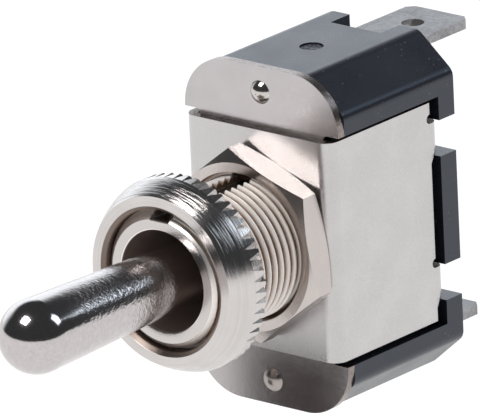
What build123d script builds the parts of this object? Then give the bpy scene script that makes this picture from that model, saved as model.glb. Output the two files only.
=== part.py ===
import os
from math import asin, atan, cos, degrees, sin, sqrt

from build123d import *

# Panel toggle switch, in millimetres. X is to the right, Y runs back into the panel and Z is up.
# The origin is on the bushing's axis at the front face of the bracket. The lever points to -Y.

# Fits shared by the whole switch
sheet = 0.8
slide_gap = 0.1
turn_gap = 0.05
seat_gap = 0.05

# Threaded bushing, 15/32 inch with 32 turns to the inch
thread_radius = 5.95
thread_length = 12.4
thread_pitch = 25.4 / 32
thread_depth = 0.48
thread_crest = 0.13
thread_root = 0.13
thread_chamfer = 0.73
mouth_rim = 1.49
neck_step = 0.65
flange_step = 0.5
flange_thickness = 1.0
bore_wall = 1.25
keyway_width = 2.0
keyway_depth = 0.9
keyway_stop = 1.0

# Bat lever with its ball, stem and pivot pin
pivot_depth = 5.1
throat_offset = 1.86
lever_length = 25.95
lever_tip_radius = 3.12
lever_neck_radius = 2.54
stem_radius = 2.2
stem_end_gap = 0.4
stem_wall = 0.9
stem_bore_depth = 5.0
pivot_pin_radius = 0.8
pivot_pin_overhang = 0.55
plunger_length = 8.4
spring_wall = 0.3

# Bracket folded round the base
bracket_end_gap = 0.4
bracket_rear_gap = 0.75
bend_radius = 1.2
tab_inset = 3.2
tab_width = 2.8
tab_reach = 2.5
tab_relief = 0.4

# Front plate with rounded ears
plate_overhang = 0.1
plate_width = 16.15
ear_radius = 4.6
ear_root_radius = 0.4
plate_rivet_inset = 2.05
plate_rivet_radius = 0.75
plate_rivet_depth = 4.0
rivet_dome_radius = 1.0
rivet_dome_height = 0.55

# Moulded base
base_length = 28.8
base_depth = 14.0
end_chamfer_x = 3.45
end_chamfer_z = 2.95
end_round = 1.1
end_block = 4.6
channel_depth = 1.275
rear_flange = 2.0
back_wall = 3.0
ledge_width = 0.4
side_wall = 1.8
cavity_end_wall = 4.2
end_pocket_side = 1.025
end_pocket_depth = 6.0
end_wall = 1.4
notch_side = 0.525
notch_depth = 2.45
mark_radius = 1.0
mark_depth = 0.15
mark_inset = 5.9

# Dust shield behind the bushing
shield_thickness = 0.3
shield_slot_gap = 0.35
shield_slot_travel = 3.2

# Flat terminals, quarter inch wide, with their rivets
terminal_width = 6.35
terminal_reach = 8.6
terminal_hole_radius = 0.95
terminal_hole_inset = 3.75
terminal_tip_chamfer = 0.8
terminal_tip_bevel = 0.2
terminal_bend_radius = 1.1
foot_margin = 0.5
terminal_rivet_inset = 5.1
terminal_rivet_radius = 1.0
terminal_rivet_head_radius = 1.7
terminal_rivet_head = 0.6
terminal_rivet_tail_radius = 1.5
terminal_rivet_tail = 0.5

# Contact rocker and what it meets
rocker_pivot_height = 1.4
rocker_width = 4.4
rocker_end_margin = 0.15
rocker_ear_thickness = 0.7
rocker_ear_wall = 0.8
rocker_pin_radius = 0.6
post_width = 2.4
post_cap = 0.1
post_gap = 0.5
contact_inset = 3.0
contact_radius = 1.15
fixed_contact_height = 0.65
stop_height = 1.3
stop_width = 3.0
stop_length = 1.6

# Hex nut and knurled face nut
nut_thickness = 2.4
nut_wall = 1.15
nut_turn = 9.0
nut_chamfer = 0.45
nut_bore_chamfer = 0.35
face_nut_thickness = 3.6
face_nut_overhang = 0.15
face_nut_ring = 1.2
face_nut_spread = 1.0
face_nut_cone = 2.2
face_nut_bulge = 0.07
face_nut_rim_chamfer = 0.15
knurl_count = 56
knurl_depth = 0.45
knurl_width = 0.72
knurl_length = 1.65

# Places that follow from the sizes above
thread_floor = thread_radius - thread_depth
neck_radius = thread_radius - neck_step
flange_radius = neck_radius + flange_step
mouth_radius = thread_radius - mouth_rim
seat_radius = neck_radius - bore_wall
ball_radius = seat_radius - seat_gap
pivot_pin_length = 2 * (ball_radius + pivot_pin_overhang)
stem_bore_radius = stem_radius - stem_wall
plate_back = 2 * sheet
flange_back = plate_back + flange_thickness
stem_end = flange_back - stem_end_gap
shield_back = flange_back + shield_thickness
base_back = plate_back + base_depth
floor = base_back - back_wall
foot_front = floor - sheet
plate_length = base_length + 2 * plate_overhang
plate_rivet_position = base_length / 2 - plate_rivet_inset
channel_length = base_length - 2 * end_block
bracket_height = channel_length - 2 * bracket_end_gap
tab_position = bracket_height / 2 - tab_inset
waist_width = plate_width - 2 * channel_depth
channel_back = base_back - rear_flange
tab_back = channel_back + sheet / 2
pocket_floor = tab_back - sheet
bracket_width = waist_width + 2 * (sheet + slide_gap)
bracket_depth = channel_back - bracket_rear_gap
tab_slant = bracket_rear_gap - slide_gap
fold_inside = bend_radius - sheet
tab_fold_inside = slide_gap
tab_bend_radius = sheet + tab_fold_inside
plate_waist = bracket_width - 2 * bend_radius
cavity_width = waist_width - 2 * side_wall
cavity_length = base_length - 2 * cavity_end_wall
mark_position = plate_back + mark_inset
cavity_end = base_length / 2 - end_wall
terminal_outer = cavity_end - 2 * slide_gap
terminal_inner = terminal_outer - sheet
terminal_end = base_back + terminal_reach
terminal_rivet_position = base_length / 2 - terminal_rivet_inset
contact_position = terminal_rivet_position - contact_inset
end_pocket_width = terminal_width + 2 * end_pocket_side
notch_width = terminal_width - 2 * notch_side
pin_slot_radius = pivot_pin_length / 2 + 1.5 * slide_gap
nut_bore_radius = thread_radius + turn_gap
nut_flat_radius = nut_bore_radius + nut_wall
face_nut_ring_radius = nut_bore_radius + face_nut_ring
face_nut_radius = face_nut_ring_radius + face_nut_spread
rocker_pivot = foot_front - rocker_pivot_height
post_height = rocker_pivot_height + rocker_pin_radius + post_cap
rocker_drop = rocker_pin_radius + post_cap + post_gap + sheet
rocker_front = rocker_pivot - rocker_drop
rocker_ear_width = 2 * (rocker_pin_radius + rocker_ear_wall)
rocker_length = 2 * (contact_position + contact_radius + rocker_end_margin)
upper_foot_end = contact_position - contact_radius - foot_margin
lower_foot_end = post_width / 2 + foot_margin
plunger_radius = stem_bore_radius - turn_gap
shield_slot_width = 2 * (plunger_radius + shield_slot_gap)
shield_slot_length = shield_slot_width + shield_slot_travel
plunger_tip = rocker_front - slide_gap
plunger_start = plunger_tip - plunger_length
bore_bottom = stem_end - stem_bore_depth
face_nut_front = -thread_length - face_nut_overhang
face_nut_back = face_nut_front + face_nut_thickness


def facing_front(depth):
    """Plane across the switch at this depth, with its normal towards the lever."""
    return Plane.XZ.offset(-depth)


def sphere_offset(radius, ring):
    """Distance from a ball's centre to where its section has the radius of the ring."""
    return sqrt(radius**2 - ring**2)


def box_cut(width, height, front, back, middle_x=0.0, middle_z=0.0):
    """Take a straight-sided block out of the part being built."""
    with BuildSketch(facing_front(front)) as outline:
        with Locations((middle_x, middle_z)):
            Rectangle(width, height)
    extrude(outline.sketch, amount=front - back, mode=Mode.SUBTRACT)


def round_cut(radius, front, back, middle_x=0.0, middle_z=0.0):
    """Take a round hole out of the part being built."""
    with BuildSketch(facing_front(front)) as outline:
        with Locations((middle_x, middle_z)):
            Circle(radius)
    extrude(outline.sketch, amount=front - back, mode=Mode.SUBTRACT)


os.makedirs("parts", exist_ok=True)

# Bracket: a sheet loop cut open at the back, which leaves two folded tabs on each side
with BuildPart() as bracket:
    with BuildSketch(Plane.XY.offset(-bracket_height / 2)):
        with Locations((0, tab_back / 2)):
            Rectangle(bracket_width, tab_back)
            Rectangle(bracket_width - 2 * sheet, tab_back - 2 * sheet, mode=Mode.SUBTRACT)
    extrude(amount=bracket_height)
    folds = bracket.edges().filter_by(Axis.Z).group_by(Axis.Y)
    for fold, radius in zip(folds, (bend_radius, fold_inside, tab_fold_inside, tab_bend_radius)):
        fillet(fold, radius=radius)
    with BuildSketch(Plane.YZ.offset(-bracket_width / 2)):
        with Locations(((bracket_depth + tab_back) / 2, 0)):
            Rectangle(tab_back - bracket_depth, bracket_height)
        for tab_middle in (tab_position, -tab_position):
            tab_low = tab_middle - tab_width / 2
            tab_high = tab_middle + tab_width / 2
            with BuildLine():
                Polyline(
                    (bracket_depth, tab_low - tab_slant),
                    (pocket_floor, tab_low),
                    (tab_back, tab_low),
                    (tab_back, tab_high),
                    (bracket_depth, tab_high),
                    close=True,
                )
            make_face(mode=Mode.SUBTRACT)
        for tab_middle in (tab_position, -tab_position):
            with Locations((bracket_depth, tab_middle + tab_width / 2 + tab_relief)):
                Circle(tab_relief)
    extrude(amount=bracket_width, mode=Mode.SUBTRACT)
    box_cut(bracket_width - 2 * tab_reach, bracket_height, bracket_depth, tab_back)
    round_cut(neck_radius + turn_gap, 0, sheet)
bracket.part.label = "bracket"
export_step(bracket.part, "parts/bracket.step")

# Front plate: full-width rounded ears, narrow between the bracket's flanges
with BuildPart() as face_plate:
    with BuildSketch(facing_front(sheet)) as plate_outline:
        RectangleRounded(plate_width, plate_length, ear_radius)
        side_bite = (plate_width - plate_waist) / 2
        with Locations(
            (plate_width / 2 + ear_root_radius, 0), (-plate_width / 2 - ear_root_radius, 0)
        ):
            RectangleRounded(
                2 * (side_bite + ear_root_radius),
                channel_length,
                ear_root_radius,
                mode=Mode.SUBTRACT,
            )
        Circle(neck_radius + turn_gap, mode=Mode.SUBTRACT)
        with Locations((0, plate_rivet_position), (0, -plate_rivet_position)):
            Circle(plate_rivet_radius, mode=Mode.SUBTRACT)
    extrude(amount=-sheet)
face_plate.part.label = "face_plate"
export_step(face_plate.part, "parts/face_plate.step")

# Base: a deep moulded cup with chamfered ends, side channels and pockets for the folded tabs
with BuildPart() as base:
    with BuildSketch(facing_front(plate_back)) as base_outline:
        half_width = plate_width / 2
        half_length = base_length / 2
        with BuildLine():
            FilletPolyline(
                (half_width, half_length - end_chamfer_z),
                (half_width - end_chamfer_x, half_length),
                (end_chamfer_x - half_width, half_length),
                (-half_width, half_length - end_chamfer_z),
                (-half_width, end_chamfer_z - half_length),
                (end_chamfer_x - half_width, -half_length),
                (half_width - end_chamfer_x, -half_length),
                (half_width, end_chamfer_z - half_length),
                close=True,
                radius=end_round,
            )
        make_face()
    extrude(amount=-base_depth)
    channel = (plate_width - waist_width) / 2
    for side in (1, -1):
        channel_middle = side * (waist_width + channel) / 2
        box_cut(channel, channel_length, plate_back, channel_back, channel_middle)
        pocket_inner = bracket_width / 2 - tab_reach - 2 * slide_gap
        pocket_width = plate_width / 2 - pocket_inner
        for level in (tab_position, -tab_position):
            box_cut(
                pocket_width,
                tab_width + 3 * slide_gap,
                pocket_floor,
                base_back,
                side * (pocket_inner + pocket_width / 2),
                level,
            )
    box_cut(
        cavity_width + 2 * ledge_width, cavity_length + 2 * ledge_width, plate_back, shield_back
    )
    round_cut(flange_radius + slide_gap, plate_back, flange_back)
    box_cut(cavity_width, cavity_length, shield_back, floor)
    box_cut(end_pocket_width, 2 * cavity_end, floor - end_pocket_depth, floor)
    for side in (1, -1):
        slot_middle = side * (terminal_outer + terminal_inner) / 2
        box_cut(
            terminal_width + 1.5 * slide_gap,
            sheet + slide_gap,
            floor,
            base_back,
            middle_z=slot_middle,
        )
        notch_height = base_length / 2 - terminal_inner
        box_cut(
            notch_width,
            notch_height,
            base_back - notch_depth,
            base_back,
            middle_z=side * (terminal_inner + notch_height / 2),
        )
        round_cut(
            plate_rivet_radius,
            plate_back,
            plate_back + plate_rivet_depth,
            middle_z=side * plate_rivet_position,
        )
        rivet_level = side * terminal_rivet_position
        round_cut(terminal_rivet_radius, floor, base_back, middle_z=rivet_level)
        round_cut(
            terminal_rivet_tail_radius + turn_gap,
            base_back - terminal_rivet_tail,
            base_back,
            middle_z=rivet_level,
        )
    with BuildSketch(Plane.XY.offset(base_length / 2)):
        with Locations((0, mark_position)):
            Circle(mark_radius)
    extrude(amount=-mark_depth, mode=Mode.SUBTRACT)
base.part.label = "base"
export_step(base.part, "parts/base.step")

# Bushing: outside thread and neck, conical mouth, ball seat, keyway and slots for the pivot pin
thread_turns = int((thread_length - thread_chamfer) / thread_pitch)
thread_slope = (thread_pitch - thread_crest - thread_root) / 2
thread_outline = []
for turn in range(thread_turns):
    groove = thread_chamfer - thread_length + thread_crest / 2 + turn * thread_pitch
    thread_outline += [
        (thread_radius, groove),
        (thread_floor, groove + thread_slope),
        (thread_floor, groove + thread_slope + thread_root),
        (thread_radius, groove + 2 * thread_slope + thread_root),
    ]
throat_angle = asin(throat_offset / seat_radius)
throat_radius = seat_radius * cos(throat_angle)
with BuildPart() as bushing:
    with BuildSketch(Plane.XY):
        with BuildLine():
            Polyline(
                (throat_radius, -pivot_depth - throat_offset),
                (mouth_radius, -thread_length),
                (thread_radius - thread_chamfer, -thread_length),
                (thread_radius, thread_chamfer - thread_length),
                *thread_outline,
                (thread_radius, 0),
                (neck_radius, 0),
                (neck_radius, plate_back),
                (flange_radius, plate_back),
                (flange_radius, flange_back),
                (seat_radius, flange_back),
                (seat_radius, -pivot_depth),
            )
            CenterArc((0, -pivot_depth), seat_radius, 0, -degrees(throat_angle))
        make_face()
    revolve(axis=Axis.Y)
    box_cut(
        keyway_width,
        keyway_depth,
        -thread_length,
        -keyway_stop,
        middle_z=thread_radius - keyway_depth / 2,
    )
    pin_slot_width = 2 * (pivot_pin_radius + turn_gap)
    box_cut(2 * pin_slot_radius, pin_slot_width, -pivot_depth - pin_slot_width / 2, flange_back)
bushing.part.label = "bushing"
export_step(bushing.part, "parts/bushing.step")

# Lever: tapered bat with a round tip, pivot ball and a bored stem
taper = atan((lever_tip_radius - lever_neck_radius) / lever_length)
tip_centre = -pivot_depth - lever_length + lever_tip_radius
neck_start = -pivot_depth - sphere_offset(ball_radius, lever_neck_radius)
stem_start = -pivot_depth + sphere_offset(ball_radius, stem_radius)
neck_angle = degrees(asin(sphere_offset(ball_radius, lever_neck_radius) / ball_radius))
stem_angle = degrees(asin(sphere_offset(ball_radius, stem_radius) / ball_radius))
tip_edge = (lever_tip_radius * cos(taper), tip_centre + lever_tip_radius * sin(taper))
with BuildPart() as lever:
    with BuildSketch(Plane.XY):
        with BuildLine():
            CenterArc((0, tip_centre), lever_tip_radius, -90, 90 + degrees(taper))
            Line(tip_edge, (lever_neck_radius, neck_start))
            CenterArc((0, -pivot_depth), ball_radius, -neck_angle, neck_angle + stem_angle)
            Polyline(
                (stem_radius, stem_start),
                (stem_radius, stem_end),
                (stem_bore_radius, stem_end),
                (stem_bore_radius, bore_bottom),
                (0, bore_bottom),
                (0, tip_centre - lever_tip_radius),
            )
        make_face()
    revolve(axis=Axis.Y)
    with BuildSketch(Plane.YZ):
        with Locations((-pivot_depth, 0)):
            Circle(pivot_pin_radius)
    extrude(amount=ball_radius, both=True, mode=Mode.SUBTRACT)
lever.part.label = "lever"
export_step(lever.part, "parts/lever.step")

with BuildPart() as pivot_pin:
    with BuildSketch(Plane.YZ):
        with Locations((-pivot_depth, 0)):
            Circle(pivot_pin_radius)
    extrude(amount=pivot_pin_length / 2, both=True)
    chamfer(pivot_pin.edges().filter_by(GeomType.CIRCLE), length=pivot_pin_radius / 6)
pivot_pin.part.label = "pivot_pin"
export_step(pivot_pin.part, "parts/pivot_pin.step")

# Plunger that runs in the stem and presses on the rocker, with its spring behind it
with BuildPart() as plunger:
    with BuildSketch(Plane.XY):
        with BuildLine():
            Polyline(
                (0, plunger_tip),
                (0, plunger_start),
                (plunger_radius, plunger_start),
                (plunger_radius, plunger_tip - plunger_radius),
            )
            CenterArc((0, plunger_tip - plunger_radius), plunger_radius, 0, 90)
        make_face()
    revolve(axis=Axis.Y)
plunger.part.label = "plunger"
export_step(plunger.part, "parts/plunger.step")

with BuildPart() as plunger_spring:
    with BuildSketch(facing_front(bore_bottom)):
        Circle(plunger_radius)
        Circle(plunger_radius - spring_wall, mode=Mode.SUBTRACT)
    extrude(amount=bore_bottom - plunger_start)
plunger_spring.part.label = "plunger_spring"
export_step(plunger_spring.part, "parts/plunger_spring.step")

# Dust shield between the bushing and the contacts
with BuildPart() as dust_shield:
    with BuildSketch(facing_front(flange_back)):
        Rectangle(
            cavity_width + 2 * ledge_width - slide_gap, cavity_length + 2 * ledge_width - slide_gap
        )
        SlotOverall(shield_slot_length, shield_slot_width, rotation=90, mode=Mode.SUBTRACT)
    extrude(amount=-shield_thickness)
dust_shield.part.label = "dust_shield"
export_step(dust_shield.part, "parts/dust_shield.step")


def plate_rivet(side):
    """Rivet with a domed head that holds one ear of the front plate to the base."""
    level = side * plate_rivet_position
    dome_centre = sheet + (rivet_dome_radius**2 - rivet_dome_height**2) / (2 * rivet_dome_height)
    dome_radius = dome_centre - sheet + rivet_dome_height
    edge_angle = degrees(asin((dome_centre - sheet) / dome_radius))
    with BuildPart() as rivet:
        with BuildSketch(Plane((0, 0, level))):
            with BuildLine():
                CenterArc((0, dome_centre), dome_radius, -90, 90 - edge_angle)
                Polyline(
                    (rivet_dome_radius, sheet),
                    (plate_rivet_radius, sheet),
                    (plate_rivet_radius, plate_back + plate_rivet_depth),
                    (0, plate_back + plate_rivet_depth),
                    (0, sheet - rivet_dome_height),
                )
            make_face()
        revolve(axis=Axis((0, 0, level), (0, 1, 0)))
    return rivet.part


def terminal(side, foot_end):
    """Flat blade through the base's back wall, folded on to the floor of the cavity."""
    outline = [
        (foot_front, foot_end),
        (foot_front, side * terminal_outer),
        (terminal_end, side * terminal_outer),
        (terminal_end, side * terminal_inner),
        (floor, side * terminal_inner),
        (floor, foot_end),
    ]
    with BuildPart() as blade:
        with BuildSketch(Plane.YZ) as section:
            with BuildLine():
                Polyline(*outline, close=True)
            make_face()
            fillet(section.vertices().sort_by_distance(outline[1])[0], radius=terminal_bend_radius)
        extrude(amount=terminal_width / 2, both=True)
        tip_corners = blade.edges().filter_by(Axis.Z).group_by(Axis.Y)[-1]
        chamfer(tip_corners, length=terminal_tip_chamfer)
        tip_edges = blade.faces().sort_by(Axis.Y)[-1].edges().filter_by(Axis.X)
        chamfer(tip_edges, length=terminal_tip_bevel)
        with BuildSketch(Plane.XY.offset(side * terminal_inner)):
            with Locations((0, terminal_end - terminal_hole_inset)):
                Circle(terminal_hole_radius)
        extrude(amount=side * sheet, mode=Mode.SUBTRACT)
        with BuildSketch(facing_front(foot_front)):
            with Locations((0, side * terminal_rivet_position)):
                Circle(terminal_rivet_radius)
        extrude(amount=-sheet, mode=Mode.SUBTRACT)
    return blade.part


def terminal_rivet(side):
    """Rivet through a terminal's foot and the base's back wall."""
    level = side * terminal_rivet_position
    steps = [
        (foot_front - terminal_rivet_head, foot_front, terminal_rivet_head_radius),
        (foot_front, base_back - terminal_rivet_tail, terminal_rivet_radius),
        (base_back - terminal_rivet_tail, base_back, terminal_rivet_tail_radius),
    ]
    with BuildPart() as rivet:
        for front, back, radius in steps:
            with BuildSketch(facing_front(front)):
                with Locations((0, level)):
                    Circle(radius)
            extrude(amount=front - back)
    return rivet.part


plate_rivet_upper = plate_rivet(1)
plate_rivet_upper.label = "plate_rivet_upper"
export_step(plate_rivet_upper, "parts/plate_rivet_upper.step")

plate_rivet_lower = plate_rivet(-1)
plate_rivet_lower.label = "plate_rivet_lower"
export_step(plate_rivet_lower, "parts/plate_rivet_lower.step")

upper_terminal = terminal(1, upper_foot_end)
upper_terminal.label = "upper_terminal"
export_step(upper_terminal, "parts/upper_terminal.step")

lower_terminal = terminal(-1, lower_foot_end)
lower_terminal.label = "lower_terminal"
export_step(lower_terminal, "parts/lower_terminal.step")

upper_terminal_rivet = terminal_rivet(1)
upper_terminal_rivet.label = "upper_terminal_rivet"
export_step(upper_terminal_rivet, "parts/upper_terminal_rivet.step")

lower_terminal_rivet = terminal_rivet(-1)
lower_terminal_rivet.label = "lower_terminal_rivet"
export_step(lower_terminal_rivet, "parts/lower_terminal_rivet.step")

# Rocker: a contact bar with two ears that hang on the rocker pin
with BuildPart() as rocker:
    with BuildSketch(facing_front(rocker_front)):
        Rectangle(rocker_width, rocker_length)
    extrude(amount=-sheet)
    for side in (1, -1):
        ear_inner = side * (rocker_width / 2 - rocker_ear_thickness)
        with BuildSketch(Plane.YZ.offset(ear_inner)):
            with Locations(((rocker_front + rocker_pivot) / 2, 0)):
                Rectangle(rocker_drop, rocker_ear_width)
            with Locations((rocker_pivot, 0)):
                Circle(rocker_ear_width / 2)
                Circle(rocker_pin_radius + turn_gap, mode=Mode.SUBTRACT)
        extrude(amount=side * rocker_ear_thickness)
rocker.part.label = "rocker"
export_step(rocker.part, "parts/rocker.step")

with BuildPart() as rocker_pin:
    with BuildSketch(Plane.YZ):
        with Locations((rocker_pivot, 0)):
            Circle(rocker_pin_radius)
    extrude(amount=rocker_width / 2 + slide_gap, both=True)
rocker_pin.part.label = "rocker_pin"
export_step(rocker_pin.part, "parts/rocker_pin.step")

with BuildPart() as fulcrum_post:
    with BuildSketch(facing_front(foot_front - post_height)):
        Rectangle(rocker_width - 2 * (rocker_ear_thickness + 1.5 * slide_gap), post_width)
    extrude(amount=-post_height)
    with BuildSketch(Plane.YZ):
        with Locations((rocker_pivot, 0)):
            Circle(rocker_pin_radius)
    extrude(amount=rocker_width / 2, both=True, mode=Mode.SUBTRACT)
fulcrum_post.part.label = "fulcrum_post"
export_step(fulcrum_post.part, "parts/fulcrum_post.step")

with BuildPart() as moving_contact:
    with BuildSketch(facing_front(rocker_front + sheet)):
        with Locations((0, contact_position)):
            Circle(contact_radius)
    extrude(amount=-sheet)
moving_contact.part.label = "moving_contact"
export_step(moving_contact.part, "parts/moving_contact.step")

with BuildPart() as fixed_contact:
    with BuildSketch(facing_front(foot_front - fixed_contact_height)):
        with Locations((0, contact_position)):
            Circle(contact_radius)
    extrude(amount=-fixed_contact_height)
fixed_contact.part.label = "fixed_contact"
export_step(fixed_contact.part, "parts/fixed_contact.step")

with BuildPart() as rocker_stop:
    with BuildSketch(facing_front(floor - sheet - stop_height)):
        with Locations((0, -contact_position)):
            Rectangle(stop_width, stop_length)
    extrude(amount=-stop_height)
rocker_stop.part.label = "rocker_stop"
export_step(rocker_stop.part, "parts/rocker_stop.step")

# Hex nut: both rims of the hexagon are bevelled and the bore is countersunk
nut_corner_radius = 2 * nut_flat_radius / sqrt(3)
with BuildPart() as hex_nut:
    with BuildSketch(facing_front(0)):
        RegularPolygon(nut_corner_radius, 6, rotation=90 + nut_turn)
    extrude(amount=nut_thickness)
    with BuildSketch(Plane.XY):
        with BuildLine():
            Polyline(
                (nut_bore_radius + nut_bore_chamfer, 0),
                (nut_flat_radius, 0),
                (nut_corner_radius, -nut_chamfer),
                (nut_corner_radius, nut_chamfer - nut_thickness),
                (nut_flat_radius, -nut_thickness),
                (nut_bore_radius + nut_bore_chamfer, -nut_thickness),
                (nut_bore_radius, nut_bore_chamfer - nut_thickness),
                (nut_bore_radius, -nut_bore_chamfer),
                close=True,
            )
        make_face()
    revolve(axis=Axis.Y, mode=Mode.INTERSECT)
hex_nut.part.label = "hex_nut"
export_step(hex_nut.part, "parts/hex_nut.step")

# Face nut: flat ring, bulging cone and a knurl that runs out towards the front
with BuildPart() as knurl_notch:
    with BuildSketch(Plane.XY.offset(-face_nut_back)):
        with Locations((face_nut_radius, 0)):
            Polygon(
                (-knurl_depth, 0),
                (knurl_depth, knurl_width),
                (knurl_depth, -knurl_width),
                align=None,
            )
    extrude(amount=knurl_length, dir=(knurl_depth, 0, knurl_length))
with BuildPart() as dress_nut:
    with BuildSketch(Plane.XY):
        with BuildLine():
            Polyline(
                (face_nut_radius, face_nut_front + face_nut_cone),
                (face_nut_radius, face_nut_back - face_nut_rim_chamfer),
                (face_nut_radius - face_nut_rim_chamfer, face_nut_back),
                (nut_bore_radius + nut_bore_chamfer, face_nut_back),
                (nut_bore_radius, face_nut_back - nut_bore_chamfer),
                (nut_bore_radius, face_nut_front + nut_bore_chamfer),
                (nut_bore_radius + nut_bore_chamfer, face_nut_front),
                (face_nut_ring_radius, face_nut_front),
            )
            ThreePointArc(
                (face_nut_ring_radius, face_nut_front),
                (
                    (face_nut_ring_radius + face_nut_radius) / 2 + face_nut_bulge,
                    face_nut_front + face_nut_cone / 2 - face_nut_bulge,
                ),
                (face_nut_radius, face_nut_front + face_nut_cone),
            )
        make_face()
    revolve(axis=Axis.Y)
    with Locations(Plane.XZ):
        with PolarLocations(0, knurl_count):
            add(knurl_notch.part, mode=Mode.SUBTRACT)
dress_nut.part.label = "dress_nut"
export_step(dress_nut.part, "parts/dress_nut.step")
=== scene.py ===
import math

import bmesh
import bpy
from mathutils import Matrix, Vector


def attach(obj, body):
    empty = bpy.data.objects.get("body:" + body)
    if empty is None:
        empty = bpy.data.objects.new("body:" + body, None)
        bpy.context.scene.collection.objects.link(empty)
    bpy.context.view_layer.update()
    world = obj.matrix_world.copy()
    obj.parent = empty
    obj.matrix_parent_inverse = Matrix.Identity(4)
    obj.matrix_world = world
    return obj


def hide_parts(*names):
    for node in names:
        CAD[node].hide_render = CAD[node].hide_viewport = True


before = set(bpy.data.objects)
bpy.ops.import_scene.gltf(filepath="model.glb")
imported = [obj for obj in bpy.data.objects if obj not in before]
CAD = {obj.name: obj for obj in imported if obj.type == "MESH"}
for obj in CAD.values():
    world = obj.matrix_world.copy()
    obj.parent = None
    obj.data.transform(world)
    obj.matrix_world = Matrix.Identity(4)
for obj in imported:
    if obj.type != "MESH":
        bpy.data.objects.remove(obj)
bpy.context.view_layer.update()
MM = 0.001

# Threaded bushing, in millimetres, as the solid has it
PITCH = 25.4 / 32
CREST = 5.95
ROOT = 5.47
THREAD_FRONT = -12.4
CHAMFER = 0.73
NECK = 5.3
STACK = 1.6
FLANGE = 5.8
FLANGE_BACK = 2.6
SEAT = 4.05
PIVOT = -5.1
THROAT_Y = -6.96
MOUTH = 4.46
MOUTH_EDGE = 0.12
KEYWAY_FRONT = THREAD_FRONT - 0.5
KEYWAY_BACK = -1.0
KEYWAY_FLOOR = 5.05
KEYWAY_TOP = 7.0
KEYWAY_HALF = 1.0
PIN_SLOT_REACH = 4.7
PIN_SLOT_HALF = 0.85
PIN_SLOT_BACK = 3.0
# The thread's outline over one turn: share of the pitch, radius
THREAD_OUTLINE = ((0.0, CREST), (0.16, CREST), (0.5, ROOT), (0.66, ROOT))
BUSHING_COLUMNS = 180
SEAT_STEPS = 8

# Rounding of sharp edges, in millimetres
EDGE_ROUND = {
    "bracket": 0.09,
    "face_plate": 0.08,
    "base": 0.12,
    "hex_nut": 0.06,
    "upper_terminal": 0.05,
    "lower_terminal": 0.05,
}
EDGE_STEPS = 2
EDGE_ANGLE_DEG = 35.0

# Edges that bend by more than this stay sharp
SHARP_DEG = 32.0
BUSHING_SHARP_DEG = 30.0
KNURL_SHARP_DEG = 14.0

# Where a finish changes, in millimetres; a pair is a band that it changes over
NUT_BORE = (6.01, 6.10)
NUT_RIM = (6.32, 6.37)
NUT_CONE = (7.15, 7.4)
NUT_CONE_BACK = (-10.8, -10.3)
LEVER_SHANK = (-27.5, -23.5)
LEVER_POLE = (0.28, 0.32)
LEVER_END = (-30.9, -30.8)
THREAD_DEPTH = (5.55, 5.92)
THREAD_SIDE = (5.2, 5.3)
THREAD_START = (-11.78, -11.60)
BUSHING_FRONT = (-12.39, -12.36)
MOUTH_WALL = (4.3, 4.45)
MOUTH_START = (-12.39, -12.1)
# Keyway floor under the nut, where painted shade goes
SLOT_WALL = (0.98, 1.02)
SLOT_START = (-12.4, -12.1)
SLOT_LOW = 4.95
SLOT_HIGH = 5.35
SLOT_BACK = -0.9
MARK_EDGE = (0.9, 1.02)
MARK_Y = 7.5
MARK_Z = 14.0

NOISE_MIDDLE = 0.5
NICKEL = (0.665, 0.64, 0.64)
EAR_NICKEL = (0.60, 0.565, 0.57)
HEX_NICKEL = (0.655, 0.60, 0.572)
FACE_NUT_NICKEL = (0.71, 0.675, 0.66)
RIVET_NICKEL = (0.66, 0.63, 0.60)
# Lower rivet's colour: the rivet nickel darkened as painted shade, for the dark surroundings it reflects
RIVET_PAINTED_SHADE = (0.46, 0.41, 0.385)
BRASS = (0.62, 0.50, 0.28)
STEEL = (0.45, 0.44, 0.43)
SILVER = (0.78, 0.77, 0.75)
TORN_STEEL = (0.21, 0.17, 0.15)

# Stage: lengths in metres, unless the name says otherwise
FLOOR_SIZE = 20.0
FLOOR_Z = -0.05
FLOOR_GLOW = 1.08
FLOOR_GLOW_SHARE = 0.9
WALL_RADIUS = 3.0
WALL_COLUMNS = 48
WALL_ROWS = 16
WALL_START_DEG = 2.0
WALL_DIM = 0.055
WALL_BRIGHT = 1.6
# Dark card for a painted dark reflection on the lower ear: its size and place
CARD_SIZE = 0.0135
CARD_PLACE = (-0.0090, -0.0135, -0.0210)
WORLD_LIGHT = 0.55
CAMERA_TURN_DEG = 40.685
CAMERA_RISE_DEG = 18.799
CAMERA_ROLL_DEG = -2.664
CAMERA_DISTANCE = 1.125
CAMERA_RIGHT = -0.001644
CAMERA_UP = 0.002645
SENSOR_MM = 36.0
FOCAL_PIXELS = 13858.0
PICTURE_PIXELS = 480.0


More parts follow.
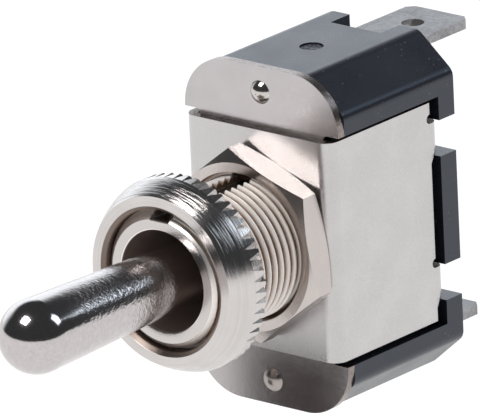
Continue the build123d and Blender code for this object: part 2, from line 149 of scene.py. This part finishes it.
class Num:
    """A shader value that can be used in ordinary arithmetic."""

    def __init__(self, finish, socket):
        self.finish = finish
        self.socket = socket

    def math(self, operation, first, second=None, clamp=False):
        sockets = {0: first} if second is None else {0: first, 1: second}
        settings = {"operation": operation, "use_clamp": clamp}
        node = self.finish.node("ShaderNodeMath", settings, sockets)
        return Num(self.finish, node.outputs[0])

    def __add__(self, other):
        return self.math("ADD", self, other)

    def __radd__(self, other):
        return self.math("ADD", other, self)

    def __sub__(self, other):
        return self.math("SUBTRACT", self, other)

    def __rsub__(self, other):
        return self.math("SUBTRACT", other, self)

    def __mul__(self, other):
        return self.math("MULTIPLY", self, other)

    def __truediv__(self, other):
        return self.math("DIVIDE", self, other)

    def __pow__(self, other):
        return self.math("POWER", self, other)

    def clamp(self):
        return self.math("ADD", self, 0.0, clamp=True)

    def largest(self, other):
        return self.math("MAXIMUM", self, other)

    def size(self):
        return self.math("ABSOLUTE", self)

    def above(self, limit):
        return self.math("GREATER_THAN", self, limit)

    def step(self, low, high):
        """0 below low, 1 above high, smooth between them."""
        node = self.finish.node(
            "ShaderNodeMapRange",
            {"interpolation_type": "SMOOTHSTEP"},
            {0: self, 1: low, 2: high, 3: 0.0, 4: 1.0},
        )
        return Num(self.finish, node.outputs[0])

    def past(self, band):
        """0 before a band given in millimetres, 1 after it, smooth inside it."""
        return self.step(band[0] * MM, band[1] * MM)

    def sway(self, amount):
        """A noise turned into a change up or down, of half the amount at most."""
        return (self - NOISE_MIDDLE) * amount


class Finish:
    """One procedural material, or the world's shader."""

    def __init__(self, name, owner=None):
        self.owner = owner or bpy.data.materials.new(name)
        self.owner.use_nodes = True
        self.tree = self.owner.node_tree
        self.tree.nodes.clear()
        self._place = None

    def node(self, kind, settings=None, sockets=None):
        made = self.tree.nodes.new(kind)
        for name, value in (settings or {}).items():
            setattr(made, name, value)
        for name, value in (sockets or {}).items():
            target = made.inputs[name]
            if isinstance(value, Num):
                self.tree.links.new(value.socket, target)
            elif isinstance(value, bpy.types.NodeSocket):
                self.tree.links.new(value, target)
            else:
                target.default_value = value
        return made

    def place(self):
        """Position on the piece, in metres of the part's own frame."""
        if self._place is None:
            self._place = self.node("ShaderNodeTexCoord").outputs["Object"]
        return self._place

    def along(self):
        """The position's x, y and z."""
        split = self.node("ShaderNodeSeparateXYZ", sockets={0: self.place()})
        return [Num(self, split.outputs[i]) for i in range(3)]

    def stretched(self, x, y, z):
        """The position with each axis scaled, for marks that run one way."""
        settings = {"operation": "MULTIPLY"}
        scaled = self.node("ShaderNodeVectorMath", settings, {0: self.place(), 1: (x, y, z)})
        return scaled.outputs[0]

    def noise(self, grain_mm, detail=3.0, rough=0.55, where=None):
        """Noise whose patches are about grain_mm across."""
        sockets = {"Vector": where or self.place(), "Scale": 1.0 / (grain_mm * MM)}
        sockets.update({"Detail": detail, "Roughness": rough})
        return Num(self, self.node("ShaderNodeTexNoise", sockets=sockets).outputs[0])

    def spots(self, spacing_mm, size):
        """1 in small round spots, 0 between them."""
        sockets = {"Vector": self.place(), "Scale": 1.0 / (spacing_mm * MM)}
        cells = self.node("ShaderNodeTexVoronoi", sockets=sockets)
        return 1.0 - Num(self, cells.outputs[0]).step(size * 0.6, size)

    def mix(self, factor, first, second):
        """Colour between two colours, each a tuple or a node's socket."""
        a = first if not isinstance(first, tuple) else (*first, 1.0)
        b = second if not isinstance(second, tuple) else (*second, 1.0)
        mixed = self.node("ShaderNodeMix", {"data_type": "RGBA"}, {0: factor, 6: a, 7: b})
        return mixed.outputs[2]

    def bump(self, height, depth_mm, normal=None):
        sockets = {"Height": height, "Distance": depth_mm * MM, "Strength": 1.0}
        if normal is not None:
            sockets["Normal"] = normal
        return self.node("ShaderNodeBump", sockets=sockets).outputs[0]

    def surface(self, colour, roughness, metallic, normal, extra=None):
        sockets = {"Base Color": colour, "Roughness": roughness, "Metallic": metallic, "Normal": normal}
        sockets.update(extra or {})
        shader = self.node("ShaderNodeBsdfPrincipled", sockets=sockets)
        return self.out(shader)

    def glow(self, colour, strength):
        """An emission shader."""
        sockets = {"Color": (*colour, 1.0), "Strength": strength}
        return self.node("ShaderNodeEmission", sockets=sockets)

    def matte(self, colour):
        return self.node("ShaderNodeBsdfDiffuse", sockets={"Color": (*colour, 1.0)})

    def blend(self, factor, first, second):
        """Mix of two shaders."""
        sockets = {0: factor, 1: first.outputs[0], 2: second.outputs[0]}
        return self.node("ShaderNodeMixShader", sockets=sockets)

    def seen(self):
        """1 where a view or a reflection looks, 0 for the light that falls on the pieces."""
        path = self.node("ShaderNodeLightPath").outputs
        seen = Num(self, path["Is Camera Ray"]).largest(Num(self, path["Is Glossy Ray"]))
        return seen.largest(Num(self, path["Is Transmission Ray"]))

    def out(self, shader):
        self.node("ShaderNodeOutputMaterial", sockets={"Surface": shader.outputs[0]})
        return self.owner


def across(first, second):
    """Length of two values at right angles to each other."""
    return (first * first + second * second) ** 0.5


def shaded(colour, share):
    return tuple(part * share for part in colour)


def sheared_ends(x, y, z):
    """1 where a sheet's surface faces up or down, as the bracket's cut ends do."""
    return z.size().step(0.5, 0.9)


def sheared_rim(x, y, z):
    """1 round the rim of a sheet that lies across the switch, as the front plate does."""
    return 1.0 - y.size().step(0.35, 0.85)


def satin_sheet(name, colour, rough, grain, depth, speckle, sheared=None):
    """Nickel-plated metal with a fine sandy grain and faint clouds, darker and torn where it is sheared."""
    f = Finish(name)
    sand = f.noise(grain, detail=4.0, rough=0.7)
    patch = f.noise(3.5, detail=4.0)
    tiny = f.noise(0.07, detail=1.0)
    tone = f.mix((patch - 0.32) * 1.4 + sand.sway(speckle), shaded(colour, 0.86), colour)
    roughness = rough + patch.sway(0.05) + sand.sway(0.12)
    height = sand + tiny * 0.4
    if sheared:
        facing = f.node("ShaderNodeNewGeometry").outputs["Normal"]
        parts = f.node("ShaderNodeSeparateXYZ", sockets={0: facing})
        cut = sheared(*(Num(f, part) for part in parts.outputs))
        torn = f.noise(0.3, detail=3.0, rough=0.7)
        tone = f.mix(cut * (0.45 + torn * 0.7), tone, TORN_STEEL)
        height = height + cut * torn * 6.0
    return f.surface(tone, roughness, 1.0, f.bump(height, depth))


def turned_metal(name, colour, rough):
    """Nickel-plated turned metal: fine rings round the switch's long axis, a dull rim and a dark bore."""
    f = Finish(name)
    x, y, z = f.along()
    radius = across(x, z)
    sweep = f.node(
        "ShaderNodeCombineXYZ",
        sockets={0: radius + y * 0.31, 1: y * 0.9 - radius * 0.2, 2: x * 0.02},
    )
    rings = f.noise(0.18, detail=3.0, rough=0.65, where=sweep.outputs[0])
    patch = f.noise(2.0, detail=4.0)
    fine = f.noise(0.12, detail=3.0)
    bore = 1.0 - radius.past(NUT_BORE)
    rim = 1.0 - radius.past(NUT_RIM)
    cone = radius.past(NUT_CONE) * (1.0 - y.past(NUT_CONE_BACK))
    dull = (0.24, 0.18, 0.145)
    dark = (0.14, 0.10, 0.08)
    tone = f.mix((patch - 0.3) * 1.1 + rings.sway(1.6), shaded(colour, 0.84), colour)
    tone = f.mix(rim * 0.85, tone, dull)
    tone = f.mix(bore * 0.7, tone, dark)
    roughness = rough + patch.sway(0.08) + rings.sway(0.14) + rim * 0.3
    relief = f.bump(rings * (cone * 1.5 + 0.2) + fine * 0.08, 0.045)
    return f.surface(tone, roughness, 1.0, relief)


def lever_plate():
    """Polished bat: mirror-bright tip, with slightly mottled plate along the shank."""
    f = Finish("polished_lever_nickel")
    x, y, z = f.along()
    radius = across(x, z)
    shank = y.past(LEVER_SHANK)
    # The mesh's normal is wrong at the tip's pole, so the face's own normal is used there
    pole = (1.0 - radius.past(LEVER_POLE)) * (1.0 - y.past(LEVER_END))
    shape = f.node("ShaderNodeNewGeometry").outputs
    facing = f.node(
        "ShaderNodeMix",
        {"data_type": "VECTOR"},
        {0: pole, 4: shape["Normal"], 5: shape["True Normal"]},
    )
    mottle = f.noise(0.42, detail=2.0, rough=0.85)
    cloud = f.noise(2.5, detail=3.0)
    tone = f.mix(mottle, (0.46, 0.435, 0.435), (0.64, 0.60, 0.595))
    roughness = 0.11 + shank * 0.06 + cloud.sway(0.05)
    relief = f.bump(mottle * (0.05 + shank * 0.75) + cloud * 0.2, 0.05, facing.outputs[1])
    return f.surface(tone, roughness, 1.0, relief)


def thread_metal():
    """Bushing plate: bright crests, with brown film down in the thread, darker brown inside the mouth, and
    painted shade on the keyway floor.
    """
    f = Finish("threaded_bushing_nickel")
    x, y, z = f.along()
    radius = across(x, z)
    low = 1.0 - radius.past(THREAD_DEPTH)
    outside = radius.past(THREAD_SIDE)
    behind = y.past(THREAD_START)
    front = 1.0 - y.past(BUSHING_FRONT)
    inside = (1.0 - radius.past(MOUTH_WALL)) * y.past(MOUTH_START)
    # Keyway floor under the nut: painted shade, near black and barely metallic
    slot = z.above(SLOT_LOW * MM) * (1.0 - x.size().past(SLOT_WALL)) * y.past(SLOT_START)
    slot = slot * (1.0 - y.above(SLOT_BACK * MM)) * (1.0 - radius.above(SLOT_HIGH * MM))
    patch = f.noise(1.2, detail=4.0)
    fine = f.noise(0.1, detail=2.0)
    film = low * outside * behind * (0.58 + patch + fine.sway(0.8))
    tone = f.mix(patch, (0.88, 0.81, 0.77), (1.0, 0.95, 0.91))
    tone = f.mix(front, tone, (0.62, 0.585, 0.565))
    tone = f.mix(film.clamp(), tone, (0.24, 0.14, 0.085))
    tone = f.mix(inside.clamp(), tone, (0.19, 0.14, 0.12))
    tone = f.mix(slot.clamp(), tone, (0.035, 0.025, 0.02))
    roughness = 0.24 + outside * 0.18 + inside * 0.2 + fine.sway(0.14)
    metal = 1.0 - inside * 0.85 - slot * 0.8 - outside * behind * 0.55
    return f.surface(tone, roughness, metal.clamp(), f.bump(fine + patch * 0.4, 0.008))


def moulded_black():
    """Moulded phenolic base: near-black, semi-gloss, with pinhead specks and a rough round mark on top."""
    f = Finish("moulded_black_base")
    x, y, z = f.along()
    cloud = f.noise(4.0, detail=4.0)
    fine = f.noise(0.18, detail=3.0)
    speck = f.spots(0.5, 0.15) * f.noise(1.6).step(0.42, 0.6)
    mark = 1.0 - across(x, y - MARK_Y * MM).past(MARK_EDGE)
    mark = mark * z.above(MARK_Z * MM)
    chips = f.noise(0.3, detail=4.0, rough=0.7).step(0.46, 0.62) * mark
    tone = f.mix(speck * 0.7 + chips, (0.008, 0.0085, 0.013), (0.16, 0.165, 0.19))
    roughness = 0.31 + cloud.sway(0.14) + fine.sway(0.12) + mark * 0.3
    relief = f.bump(fine * (1.0 + mark * 8.0) + cloud * 0.5, 0.011)
    blue_sheen = {"Specular Tint": (0.76, 0.84, 1.0, 1.0), "IOR": 1.65}
    return f.surface(tone, roughness, 0.0, relief, blue_sheen)


def dull_tin():
    """Tin-plated terminal with soft stains and fine rolling marks."""
    f = Finish("dull_tin_plate")
    stain = f.noise(2.2, detail=5.0, rough=0.6)
    rolled = f.noise(0.25, detail=3.0, where=f.stretched(1.0, 0.12, 1.0))
    grain = f.noise(0.34, detail=3.0, rough=0.75)
    shade = stain.step(0.3, 0.7) * 0.6 + grain.sway(2.2) + 0.25
    tone = f.mix(shade, (0.22, 0.215, 0.225), (0.50, 0.495, 0.505))
    roughness = 0.46 + stain.sway(0.2) + grain.sway(0.25)
    relief = f.bump(rolled * 0.5 + stain * 0.4 + grain * 2.0, 0.02)
    return f.surface(tone, roughness, 1.0, relief)


def plain_metal(name, colour, rough):
    f = Finish(name)
    fine = f.noise(0.2, detail=3.0)
    tone = f.mix(fine, shaded(colour, 0.8), colour)
    return f.surface(tone, rough + fine.sway(0.1), 1.0, f.bump(fine, 0.003))


def fibre_board():
    f = Finish("dark_fibre_board")
    fibre = f.noise(0.5, detail=5.0, rough=0.7)
    tone = f.mix(fibre, (0.035, 0.028, 0.02), (0.09, 0.075, 0.06))
    return f.surface(tone, 0.8, 0.0, f.bump(fibre, 0.02))


def all_finishes():
    """The finish of each piece, by the name of its node."""
    tin = dull_tin()
    brass = plain_metal("plain_brass", BRASS, 0.3)
    steel = plain_metal("plain_steel", STEEL, 0.3)
    silver = plain_metal("contact_silver", SILVER, 0.25)
    fibre = fibre_board()
    return {
        "bracket": satin_sheet("bracket_satin_nickel", NICKEL, 0.29, 0.2, 0.013, 1.8, sheared_ends),
        "face_plate": satin_sheet("ear_smooth_nickel", EAR_NICKEL, 0.24, 0.3, 0.004, 0.5, sheared_rim),
        "hex_nut": satin_sheet("hex_nut_nickel", HEX_NICKEL, 0.22, 0.25, 0.006, 0.9),
        "dress_nut": turned_metal("face_nut_bright_nickel", FACE_NUT_NICKEL, 0.19),
        "lever": lever_plate(),
        "bushing": thread_metal(),
        "base": moulded_black(),
        "plate_rivet_upper": plain_metal("polished_rivet", RIVET_NICKEL, 0.14),
        # Lower rivet: rougher, and darker by painted shade
        "plate_rivet_lower": plain_metal("rough_rivet_painted_shade", RIVET_PAINTED_SHADE, 0.3),
        "upper_terminal": tin,
        "lower_terminal": tin,
        "upper_terminal_rivet": brass,
        "lower_terminal_rivet": brass,
        "rocker": brass,
        "fulcrum_post": brass,
        "rocker_pin": steel,
        "pivot_pin": steel,
        "plunger_spring": steel,
        "fixed_contact": silver,
        "moving_contact": silver,
        "dust_shield": fibre,
        "rocker_stop": fibre,
        "plunger": fibre,
    }


def dress(obj, finish, sharp_deg):
    """Give a piece its finish, and smooth shading that keeps its real edges."""
    obj.data.materials.clear()
    obj.data.materials.append(finish)
    for face in obj.data.polygons:
        face.use_smooth = True
    obj.data.set_sharp_from_angle(angle=math.radians(sharp_deg))


def soften_edges(obj, width_mm):
    """Small rounding along the sharp edges, as plated and moulded parts have."""
    bevel = obj.modifiers.new("edge_round", "BEVEL")
    bevel.width = width_mm * MM
    bevel.segments = EDGE_STEPS
    bevel.limit_method = "ANGLE"
    bevel.angle_limit = math.radians(EDGE_ANGLE_DEG)
    bevel.harden_normals = False


def add_object(name, data):
    obj = bpy.data.objects.new(name, data)
    bpy.context.scene.collection.objects.link(obj)
    return obj


def mesh_object(name, mesh):
    """Object made of a finished bmesh, which is freed."""
    data = bpy.data.meshes.new(name)
    mesh.to_mesh(data)
    mesh.free()
    return add_object(name, data)


def lathe(rings, columns):
    """Closed mesh from rings, each a function that gives (radius, y) at an angle."""
    mesh = bmesh.new()
    grid = []
    for ring in rings:
        row = []
        for c in range(columns):
            turn = 2 * math.pi * c / columns
            radius, y = ring(turn)
            point = Vector((radius * math.sin(turn), y, radius * math.cos(turn))) * MM
            row.append(mesh.verts.new(point))
        grid.append(row)
    for k, row in enumerate(grid):
        following = grid[(k + 1) % len(grid)]
        for c in range(columns):
            d = (c + 1) % columns
            mesh.faces.new((row[c], row[d], following[d], following[c]))
    bmesh.ops.remove_doubles(mesh, verts=mesh.verts, dist=1e-6)
    bmesh.ops.recalc_face_normals(mesh, faces=mesh.faces)
    return mesh


def thread_rings():
    """Rings that follow the screw line, with the thread's outline for each turn."""
    turns = int(-THREAD_FRONT / PITCH) + 2
    rings = []
    for turn_number in range(-1, turns):
        for share, radius in THREAD_OUTLINE:
            start = THREAD_FRONT + (turn_number + share) * PITCH

            def ring(turn, start=start, radius=radius):
                y = min(max(start + turn / (2 * math.pi) * PITCH, THREAD_FRONT), 0.0)
                front = CREST - CHAMFER + (y - THREAD_FRONT)
                return min(radius, front), y

            rings.append(ring)
    return rings


def fixed_ring(radius, y):
    return lambda turn: (radius, y)


def cut_box(obj, low, high):
    """Take a block, given in millimetres, out of a piece."""
    mesh = bmesh.new()
    bmesh.ops.create_cube(mesh, size=1.0)
    size = Vector(high) - Vector(low)
    middle = (Vector(high) + Vector(low)) / 2
    for v in mesh.verts:
        v.co = Vector((v.co.x * size.x, v.co.y * size.y, v.co.z * size.z)) * MM + middle * MM
    cutter = mesh_object("cutter", mesh)
    cut = obj.modifiers.new("cut", "BOOLEAN")
    cut.operation = "DIFFERENCE"
    cut.solver = "EXACT"
    cut.object = cutter
    bpy.context.view_layer.update()
    evaluated = obj.evaluated_get(bpy.context.evaluated_depsgraph_get())
    result = bpy.data.meshes.new_from_object(evaluated)
    obj.modifiers.clear()
    obj.data = result
    bpy.data.objects.remove(cutter)


def make_bushing():
    """Bushing with a real screw thread, its mouth, ball seat, rear flange, keyway and slot for the pin."""
    rings = thread_rings()
    rear = [(NECK, 0.0), (NECK, STACK), (FLANGE, STACK), (FLANGE, FLANGE_BACK), (SEAT, FLANGE_BACK)]
    rings += [fixed_ring(*corner) for corner in rear]
    seat_turn = math.asin((PIVOT - THROAT_Y) / SEAT)
    for i in range(SEAT_STEPS + 1):
        turn = seat_turn * i / SEAT_STEPS
        rings.append(fixed_ring(SEAT * math.cos(turn), PIVOT - SEAT * math.sin(turn)))
    rings.append(fixed_ring(MOUTH - MOUTH_EDGE, THREAD_FRONT + MOUTH_EDGE / 2))
    rings.append(fixed_ring(MOUTH, THREAD_FRONT))
    obj = mesh_object("threaded_bushing", lathe(rings, BUSHING_COLUMNS))
    cut_box(obj, (-KEYWAY_HALF, KEYWAY_FRONT, KEYWAY_FLOOR), (KEYWAY_HALF, KEYWAY_BACK, KEYWAY_TOP))
    cut_box(
        obj,
        (-PIN_SLOT_REACH, PIVOT - PIN_SLOT_HALF, -PIN_SLOT_HALF),
        (PIN_SLOT_REACH, PIN_SLOT_BACK, PIN_SLOT_HALF),
    )
    return obj


def flat_card(name, size, place, facing, finish):
    """A flat square stage piece whose face looks at a point."""
    half = size / 2
    data = bpy.data.meshes.new(name)
    corners = [(-half, -half, 0), (half, -half, 0), (half, half, 0), (-half, half, 0)]
    data.from_pydata(corners, [], [(0, 1, 2, 3)])
    data.materials.append(finish)
    card = add_object(name, data)
    direction = Vector(facing) - Vector(place)
    card.rotation_euler = direction.to_track_quat("Z", "Y").to_euler()
    card.location = place
    return card


def only_reflected(card):
    """Leave a stage piece to be seen in reflections alone."""
    card.visible_camera = False
    card.visible_diffuse = False
    card.visible_shadow = False
    card.visible_transmission = False


def pale_floor():
    """Pale floor: white to the camera and in reflections, with a faint shadow."""
    f = Finish("pale_floor")
    white = f.glow((1.0, 1.0, 1.0), FLOOR_GLOW)
    f.out(f.blend(f.seen() * FLOOR_GLOW_SHARE, f.matte((0.9, 0.9, 0.9)), white))
    flat_card("floor", FLOOR_SIZE, (0, 0, FLOOR_Z), (0, 0, 1), f.owner)


def studio_wall():
    """Dark dome over the table, seen only in reflections, bright low down at the back left."""
    mesh = bmesh.new()
    grid = []
    for r in range(WALL_ROWS + 1):
        rise = math.radians(WALL_START_DEG + (90.0 - WALL_START_DEG) * r / WALL_ROWS)
        spread = WALL_RADIUS * math.cos(rise)
        height = WALL_RADIUS * math.sin(rise)
        row = []
        for c in range(WALL_COLUMNS):
            turn = 2 * math.pi * c / WALL_COLUMNS
            row.append(mesh.verts.new((spread * math.sin(turn), spread * math.cos(turn), height)))
        grid.append(row)
    for r in range(WALL_ROWS):
        for c in range(WALL_COLUMNS):
            d = (c + 1) % WALL_COLUMNS
            mesh.faces.new((grid[r][c], grid[r][d], grid[r + 1][d], grid[r + 1][c]))
    bmesh.ops.remove_doubles(mesh, verts=mesh.verts, dist=1e-5)
    wall = mesh_object("studio_wall", mesh)
    f = Finish("studio_wall")
    x, y, z = f.along()
    left_back = ((y * 0.75 - x * 0.66) / WALL_RADIUS).step(0.35, 0.8)
    low = 1.0 - (z / WALL_RADIUS).step(0.40, 0.64)
    f.out(f.glow((0.90, 0.95, 1.0), WALL_DIM + left_back * low * WALL_BRIGHT))
    wall.data.materials.append(f.owner)
    only_reflected(wall)


def dark_card_painted_reflection():
    """Small dark card in front of the lower ear, seen only in reflections and only from behind: a painted
    dark reflection on the lower ear.
    """
    f = Finish("dark_card_painted_reflection")
    side = f.node("ShaderNodeNewGeometry").outputs["Backfacing"]
    clear = f.node("ShaderNodeBsdfTransparent")
    f.out(f.blend(side, clear, f.matte((0.05, 0.036, 0.03))))
    facing = (CARD_PLACE[0], -1.0, CARD_PLACE[2])
    only_reflected(flat_card("dark_card_painted_reflection", CARD_SIZE, CARD_PLACE, facing, f.owner))


def set_world():
    """White surroundings that light the pieces less than they show."""
    world = bpy.data.worlds.new("studio_world")
    bpy.context.scene.world = world
    f = Finish("studio_world", world)
    strength = WORLD_LIGHT + f.seen() * (1.0 - WORLD_LIGHT)
    light = f.node("ShaderNodeBackground", sockets={"Color": (1, 1, 1, 1), "Strength": strength})
    f.node("ShaderNodeOutputWorld", sockets={"Surface": light.outputs[0]})


def softbox(name, place, size, power, colour=(1, 1, 1)):
    """Rectangular lamp that looks at the switch."""
    lamp = bpy.data.lights.new(name, "AREA")
    lamp.shape = "RECTANGLE"
    lamp.size = size[0]
    lamp.size_y = size[1]
    lamp.energy = power
    lamp.color = colour
    obj = add_object(name, lamp)
    obj.location = place
    obj.rotation_euler = (-Vector(place)).to_track_quat("-Z", "Y").to_euler()


def set_camera():
    """Long-lens camera that matches the photographed view."""
    turn, rise, roll = (math.radians(a) for a in (CAMERA_TURN_DEG, CAMERA_RISE_DEG, CAMERA_ROLL_DEG))
    back = Vector((math.sin(turn) * math.cos(rise), -math.cos(turn) * math.cos(rise), math.sin(rise)))
    right = Vector((math.cos(turn), math.sin(turn), 0.0))
    up = back.cross(right)
    level_right = right * math.cos(roll) + up * math.sin(roll)
    level_up = up * math.cos(roll) - right * math.sin(roll)
    place = back * CAMERA_DISTANCE + level_right * CAMERA_RIGHT + level_up * CAMERA_UP
    data = bpy.data.cameras.new("camera")
    data.sensor_width = SENSOR_MM
    data.lens = FOCAL_PIXELS / PICTURE_PIXELS * SENSOR_MM
    data.clip_start = 0.01
    data.clip_end = 50.0
    camera = add_object("camera", data)
    axes = Matrix((level_right, level_up, back)).transposed().to_4x4()
    camera.matrix_world = Matrix.Translation(place) @ axes
    bpy.context.scene.camera = camera


finishes = all_finishes()
bushing = make_bushing()
dress(bushing, finishes["bushing"], BUSHING_SHARP_DEG)
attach(bushing, "housing")
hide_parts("bushing")

for name, node in CAD.items():
    dress(node, finishes[name], KNURL_SHARP_DEG if name == "dress_nut" else SHARP_DEG)
for name, width in EDGE_ROUND.items():
    soften_edges(CAD[name], width)

pale_floor()
studio_wall()
dark_card_painted_reflection()
set_world()
softbox("top_softbox", (-0.20, -0.63, 1.0), (0.44, 0.42), 8.8)
softbox("right_softbox", (0.67, 0.65, 0.75), (0.40, 0.50), 1.8, (0.78, 0.89, 1.0))
set_camera()
bpy.context.scene.view_settings.view_transform = "Standard"
